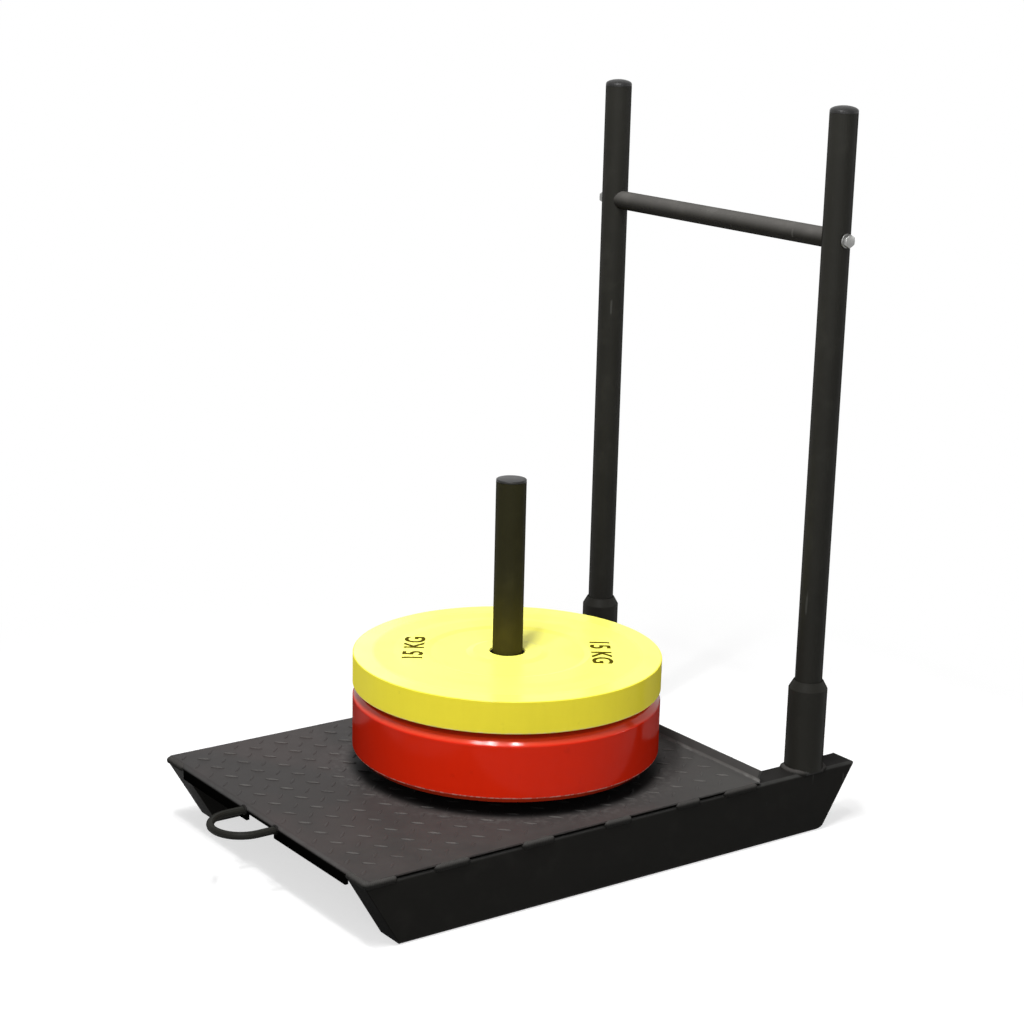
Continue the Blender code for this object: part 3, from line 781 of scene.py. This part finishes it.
def weld_side(side, hand, paint, dust_and_top_light_paint):
    """The deck's stitch welds and the beads at the socket, the front corner and the ring."""
    seam_x, seam_z = hand * (DECK_EDGE - 0.0022), RUNNER_TOP - 0.001
    for number, (start, end) in enumerate(STITCHES, 1):
        points = [(seam_x, TIP_Y + start, seam_z), (seam_x, TIP_Y + end, seam_z)]
        name = f"{side}_stitch_weld_{number}"
        weld(name, points, dust_and_top_light_paint, STITCH_BEAD, "deck_coat", 10.0)

    centre = (RUNNER_X * hand, SOCKET_Y)
    for end_name, middle in (("front", 270), ("rear", 90)):
        points = arc(centre, SOCKET_RADIUS + 0.0004, middle - 60, middle + 60, RUNNER_TOP - 0.0009)
        name = f"{side}_socket_{end_name}_weld"
        weld(name, points, dust_and_top_light_paint, SOCKET_BEAD, "deck_coat", 6.0)
    for face_name, away in (("outer", 1), ("inner", -1)):
        x = hand * (RUNNER_X + away * (RUNNER_HALF - 0.0012))
        points = [(x, SOCKET_Y - 0.017, seam_z), (x, SOCKET_Y + 0.017, seam_z)]
        weld(f"{side}_socket_{face_name}_weld", points, paint, SOCKET_SIDE_BEAD)

    y, z = DECK_FRONT + 0.0024, RUNNER_TOP - 0.0004
    points = [(hand * (RUNNER_X - RUNNER_HALF + 0.0005), y, z), (hand * (DECK_EDGE + 0.0022), y, z)]
    weld(f"{side}_front_corner_weld", points, dust_and_top_light_paint, CORNER_BEAD, "deck_coat", 12.0)

    x, y, z = hand * (RING_HIGH.x - RING_BAR), DECK_FRONT - 0.0006, (RING_LOW.z + RING_HIGH.z) / 2
    radius = RING_BAR + WELD_GAP
    circle = [(x + radius * math.cos(a), y, z + radius * math.sin(a))
              for a in (2 * math.pi * i / 20 for i in range(21))]
    weld(f"{side}_ring_weld", circle, paint, RING_BEAD)


def weld_all(paint, dust_and_top_light_paint):
    """The beads of both sides, then those round the post's flange and its foot."""
    for side, hand in SIDES:
        weld_side(side, hand, paint, dust_and_top_light_paint)
    post = (0.0, POST_Y)
    flange = arc(post, FLANGE_RADIUS + 0.0008, 0, 360, DECK_TOP + 0.0014, 72)
    weld("flange_weld", flange, paint, FLANGE_BEAD)
    foot = arc(post, POST_RADIUS + 0.0006, 0, 360, FLANGE_HIGH.z + 0.0004, 48)
    weld("post_weld", foot, paint, POST_BEAD)


def plate_face(half, rim, recess, bevel, ease):
    """Outline of a plate's face from the hub to the rim, heights from the plate's middle."""
    inner, dish_start, dish_end, outer = DISH_RADII
    dish, edge = half - DISH_DEPTH, half - recess
    return [
        (HUB_RADIUS, half, ease * 0.5),
        (inner, half, 0.004),
        (dish_start, dish, 0.006),
        (dish_end, dish, 0.008),
        (outer, half, 0.005),
        (BOSS_RADIUS, half, 0.006),
        (BOSS_RADIUS + BOSS_SLOPE, edge, 0.010 if recess > 0.003 else 0.004),
        (rim - bevel, edge, ease),
        (rim, edge - bevel, ease),
    ]


def dress_plate(name, low, high, paint, recesses, bevel, ease):
    """A plate turned in one piece, its bore open to the hub; recesses are upper and under."""
    half, rim = (high.z - low.z) / 2, (high.y - low.y) / 2
    upper, under = (plate_face(half, rim, recess, bevel, ease) for recess in recesses)
    start = [(HUB_RADIUS, 0.0, 0)]
    under = [(radius, -height, size) for radius, height, size in reversed(under)]
    middle = (0.0, POST_Y, (low.z + high.z) / 2)
    mesh = turned(name, start + upper + under + start, paint, middle, sides=144)
    place(f"{name}_dressed", mesh, body_of(name), slot_of(name), name)


def numeral_mesh():
    """The plain weight as thin letters, cut across so that they can follow the plate's slope."""
    curve = bpy.data.curves.new("numeral", "FONT")
    curve.body = NUMERALS
    curve.size = NUMERAL_SIZE
    curve.align_x = "CENTER"
    curve.align_y = "CENTER"
    curve.extrude = 0.00012
    curve.offset = 0.0009
    mesh = applied(linked("numeral", curve))
    cut_spacing = 0.002
    bm = bmesh.new()
    bm.from_mesh(mesh)
    for step in range(-8, 9):
        parts = bm.verts[:] + bm.edges[:] + bm.faces[:]
        spot = (0, cut_spacing * step, 0)
        bmesh.ops.bisect_plane(bm, geom=parts, plane_co=spot, plane_no=(0, 1, 0))
    bm.to_mesh(mesh)
    bm.free()
    return mesh


def numerals(ink):
    """The weight, twice on the upper plate's boss, its letters' tops towards the rim."""
    for number, angle in enumerate(NUMERAL_ANGLES, 1):
        mesh = numeral_mesh()
        turn = math.radians(angle)
        spot = Vector((NUMERAL_RADIUS * math.cos(turn), POST_Y + NUMERAL_RADIUS * math.sin(turn),
                       UPPER_HIGH.z + 0.0002))
        mesh.transform(Matrix.Translation(spot) @ Matrix.Rotation(turn - math.pi / 2, 4, "Z"))
        for vertex in mesh.vertices:
            past = math.hypot(vertex.co.x, vertex.co.y - POST_Y) - BOSS_RADIUS
            vertex.co.z -= UPPER_RECESS * min(max(past / BOSS_SLOPE, 0.0), 1.0)
        mesh.materials.clear()
        mesh.materials.append(ink)
        place(f"upper_plate_number_{number}", mesh, "upper_weight_plate", "yellow_rubber")


def dress():
    """Every piece with its paint."""
    bar_z = (CROSSBAR_LOW.z + CROSSBAR_HIGH.z) / 2
    runner_paint = coat("runner_coat_satin", (0.0094, 0.0091, 0.0082), 0.5, gloss=0.025,
                        dust_and_light_from=RUNNER_TOP - 0.006, dust_and_light_full=RUNNER_TOP - 0.001, runner=True)
    coarse = {"grain": 0.0012, "depth": 0.00009}
    tube_paint = coat("tube_coat_fine", (0.0164, 0.016, 0.0138), 0.46, **coarse)
    ring_paint = coat("ring_coat_rubbed", (0.0125, 0.0124, 0.0105), 0.45)
    # The grip's upper part: dust with a painted top light
    grip_paint_dust_and_top_light = coat("grip_coat_rubbed", (0.013, 0.0122, 0.0108), 0.5, gloss=0.03,
                      dust_and_light_from=bar_z - 0.006, dust_and_light_full=bar_z + 0.0125,
                      dust_and_light_colour=(0.1, 0.096, 0.09), **coarse)
    # Painted reflection of the yellow plate on the post's foot, fading upwards
    post_paint_painted_reflection = coat("post_coat_rubber_marked", (0.019, 0.0178, 0.0085), 0.46, gloss=0.03,
                      dust_and_light_from=UPPER_HIGH.z + 0.13, dust_and_light_full=UPPER_HIGH.z - 0.01,
                      dust_and_light_colour=(0.055, 0.047, 0.0085), **coarse)
    # The beads' upper parts: dust with a painted top light, matching the deck's tone
    bead_paint_dust_and_top_light = coat("weld_coat_rubbed", (0.011, 0.0107, 0.0098), 0.55, gloss=0.03,
                      dust_and_light_from=RUNNER_TOP - 0.0015, dust_and_light_full=RUNNER_TOP + 0.0045,
                      dust_and_light_colour=(0.064, 0.061, 0.058))
    plastic, zinc, steel = cap_plastic(), zinc_plate(), hub_steel()
    # Each plate's top colour is lighter than its side colour: painted light from above
    red = rubber("red_rubber_moulded", (0.58, 0.017, 0.003), (0.62, 0.042, 0.011),
                 middle=(LOWER_LOW.z + LOWER_HIGH.z) / 2, crown=0.038, roughness=0.128)
    yellow = rubber("yellow_rubber_moulded", (0.765, 0.67, 0.044), (0.97, 0.93, 0.16),
                    middle=(UPPER_LOW.z + UPPER_HIGH.z) / 2, crown=0.0229, roughness=0.2,
                    level=0.22, chalk=0.7)

    dress_deck(deck_coat())
    dress_runners(runner_paint)
    dress_sockets(tube_paint)
    weld_all(runner_paint, bead_paint_dust_and_top_light)
    dress_plate("lower_plate", LOWER_LOW, LOWER_HIGH, red, (LOWER_RECESS, LOWER_RECESS),
                bevel=0.009, ease=0.0035)
    dress_plate("upper_plate", UPPER_LOW, UPPER_HIGH, yellow, (UPPER_RECESS, UPPER_UNDER_RECESS),
                bevel=0.001, ease=0.001)
    numerals(numeral_ink())
    soften("weight_post_flange", tube_paint, width=0.0006)
    soften("weight_post_cap", plastic, width=0.0006)
    for side, _ in SIDES:
        soften(f"{side}_bolt", zinc, width=0.0006)
        soften(f"{side}_washer", zinc, width=0.0004)
        repaint(f"{side}_upright_cap", plastic)
        repaint(f"{side}_upright", tube_paint)
        repaint(f"crossbar_{side}_insert", zinc)
    for node, paint in (("weight_post", post_paint_painted_reflection), ("crossbar", grip_paint_dust_and_top_light),
                        ("tow_ring", ring_paint), ("lower_plate_hub", steel),
                        ("upper_plate_hub", steel)):
        repaint(node, paint)


# ---- Studio ----

def backdrop():
    """A pale floor that keeps the sled's shadow and fades into a white surround."""
    reach, fade_from, fade_to = 14.0, 0.7, 1.3
    corners = [(-reach, -reach, 0), (reach, -reach, 0), (reach, reach, 0), (-reach, reach, 0)]
    mesh = bpy.data.meshes.new("floor")
    mesh.from_pydata(corners, [], [(0, 1, 2, 3)])
    floor = linked("floor", mesh)
    floor.location.z = -0.0005  # just clear of the runners' soles
    finish = Finish("pale_floor")
    seen = finish.seen()
    white = finish.add("ShaderNodeEmission", None, {"Color": (1, 1, 1, 1), "Strength": 1.0})
    lift = finish.add("ShaderNodeEmission", None, {"Color": (1, 1, 1, 1), "Strength": 0.62})
    chalk = finish.add("ShaderNodeBsdfDiffuse", None, {"Color": (0.5, 0.5, 0.5, 1)})
    shown = finish.add("ShaderNodeAddShader", None, {0: chalk, 1: lift})
    far = finish.around(0.0, 0.0).ramp(fade_from, fade_to)
    shown = finish.add("ShaderNodeMixShader", None, {0: far, 1: shown, 2: white})
    dim = finish.add("ShaderNodeBsdfDiffuse", None, {"Color": (0.16, 0.16, 0.16, 1)})
    finish.show(finish.add("ShaderNodeMixShader", None, {0: seen, 1: dim, 2: shown}))
    mesh.materials.append(finish.material)


def surround():
    """White where it is seen or mirrored, a plain soft level where it lights."""
    world = bpy.data.worlds.new("surround")
    world.use_nodes = True
    bpy.context.scene.world = world
    network = Network(world.node_tree)
    background = network.tree.nodes["Background"]
    background.inputs["Color"].default_value = (1, 1, 1, 1)
    strength = SURROUND_LIGHT + network.seen() * (1 - SURROUND_LIGHT)
    network.feed(background.inputs["Strength"], strength)


def lamp(name, direction, distance, size, power, length=None, along=(1, 1, 0)):
    """A lamp aimed at the sled: round, or a strip of a given length along a direction.

    The distance is from a point inside the sled, and the power is in watts.
    """
    light = bpy.data.lights.new(name, "AREA")
    light.shape = "RECTANGLE" if length else "DISK"
    light.size = length or size
    light.size_y = size
    light.energy = power
    aim = Vector((0, 0, 0.15))
    back = Vector(direction).normalized()
    across = Vector(along)
    across = (across - back * across.dot(back)).normalized()
    turn = Matrix((across, back.cross(across), back)).transposed().to_4x4()
    linked(name, light).matrix_world = Matrix.Translation(aim + back * distance) @ turn


def lights():
    """The lamps that the photograph's reflections and shading ask for."""
    lamp("ceiling_strip", (0.21, -0.29, 0.915), distance=2.6, size=0.16, power=54, length=1.5,
         along=(0.81, -0.58, 0))
    lamp("first_ceiling_lamp", (0.150, -0.374, 0.915), distance=2.55, size=0.1, power=14)
    lamp("second_ceiling_lamp", (0.377, -0.152, 0.914), distance=2.55, size=0.1, power=7)
    lamp("rear_lamp", (0.45, 0.75, 0.4), distance=2.6, size=0.5, power=7)
    lamp("back_fill", (-0.92, 0.40, 0.37), distance=3.0, size=0.7, power=2.5)
    lamp("front_fill", (0.78, -0.62, 0.32), distance=3.2, size=1.2, power=52, length=4.2,
         along=(0.58, 0.81, 0))


def camera():
    """The photograph's viewpoint: a long lens, slightly rolled, with a small shift."""
    picture, sensor = 1024, 36
    azimuth, elevation, roll = (math.radians(angle) for angle in (54.61, 16.53, 1.24))
    focal, distance = 2317.57, 3.42399
    centre, aim_pixel = (491.33, 591.02), (504.73, 762.21)
    aim = Vector((0.0, POST_Y, RUNNER_TOP))
    back = Vector((math.sin(azimuth) * math.cos(elevation),
                   -math.cos(azimuth) * math.cos(elevation), math.sin(elevation)))
    level = Vector((math.cos(azimuth), math.sin(azimuth), 0))
    upright = back.cross(level)
    right = level * math.cos(roll) + upright * math.sin(roll)
    up = upright * math.cos(roll) - level * math.sin(roll)
    off_x, off_y = (aim_pixel[0] - centre[0]) / focal, (aim_pixel[1] - centre[1]) / focal
    ray = right * off_x - up * off_y - back
    lens = bpy.data.cameras.new("camera")
    lens.sensor_width = sensor
    lens.lens = focal * sensor / picture
    lens.shift_x = (picture / 2 - centre[0]) / picture
    lens.shift_y = (centre[1] - picture / 2) / picture
    made = linked("camera", lens)
    turn = Matrix((right, up, back)).transposed().to_4x4()
    made.matrix_world = Matrix.Translation(aim - ray * distance) @ turn
    bpy.context.scene.camera = made


dress()
backdrop()
surround()
lights()
camera()
